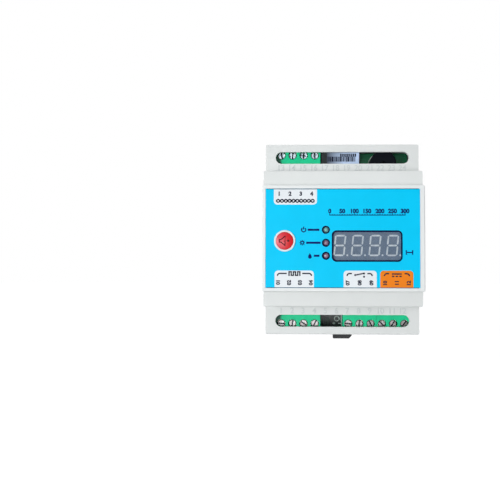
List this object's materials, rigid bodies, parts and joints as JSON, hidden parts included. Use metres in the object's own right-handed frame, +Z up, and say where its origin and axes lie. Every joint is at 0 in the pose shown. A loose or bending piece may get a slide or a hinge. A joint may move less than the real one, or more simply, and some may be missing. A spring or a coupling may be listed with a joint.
{
  "type": "leak detection controller",
  "caption": "Rail-mounted leak detection controller: stepped grey housing with a blue front film, digit display, lamps, a red button and slotted rows of screw terminals.",
  "frame": {"origin": "middle of the pad at the back that seats on the front face of the rail", "axes": "+X to the right seen from the front, +Y from the device towards the wall behind the rail, +Z up; the display faces -Y"},
  "size_m": [0.07, 0.06, 0.0928],
  "materials": {
    "housing": "light grey, fine satin texture",
    "film": "blue printed film, satin",
    "clear_window": "clear film, satin",
    "clip": "black, satin",
    "button": "red, soft gloss",
    "black_plastic": "black, satin",
    "board": "dark green solder mask",
    "display_body": "grey face, satin",
    "segment": "pale diffuser",
    "lamp_green": "dull green, diffused",
    "lamp_pink": "dull pink, diffused",
    "relay_case": "blue case, satin",
    "potting": "black resin",
    "label": "pale film, bare",
    "capacitor_sleeve": "black sleeve",
    "ferrite": "dark grey",
    "suppressor": "blue lacquer",
    "can_metal": "bright",
    "terminal_green": "green, satin",
    "screw_steel": "plated, worn bright",
    "clamp_metal": "plated",
    "contact_metal": "tinned brass"
  },
  "bodies": {
    "housing": {"front_cover": "housing", "rear_base": "housing", "overlay_film": "film", "display_window": "clear_window", "switch_body": "black_plastic", "main_board": "board", "display_board": "board", "header_socket": "black_plastic", "header_base": "black_plastic", "header_pins": "contact_metal", "display_module": "display_body", "display_segments": "segment", "led_power": "lamp_green", "led_service": "lamp_pink", "led_leak": "lamp_pink", "led_spacers": "black_plastic", "relay": "relay_case", "buzzer": "black_plastic", "power_module": "potting", "module_label": "label", "capacitors": "capacitor_sleeve", "choke": "ferrite", "surge_suppressor": "suppressor", "crystal": "can_metal", "controller_chip": "potting", "bus_chip": "potting", "isolators": "potting", "sensor_block": "terminal_green", "bus_block": "terminal_green", "relay_block": "terminal_green", "power_block": "terminal_green", "terminal_screws": "screw_steel", "clamp_cages": "clamp_metal", "terminal_pins": "contact_metal", "board_screws": "screw_steel", "display_board_screws": "screw_steel"},
    "clip": {"din_clip": "clip"},
    "button": {"mute_button": "button", "switch_plunger": "black_plastic"}
  },
  "joints": [
    {"name": "button_press", "type": "slide", "parent": "housing", "child": "button", "axis": [0, 1, 0], "range_m": [0, 0.0004], "stiffness_N_per_m": 800, "springref_m": -0.001},
    {"name": "clip_slide", "type": "slide", "parent": "housing", "child": "clip", "axis": [0, 0, -1], "range_m": [0, 0.004]}
  ]
}
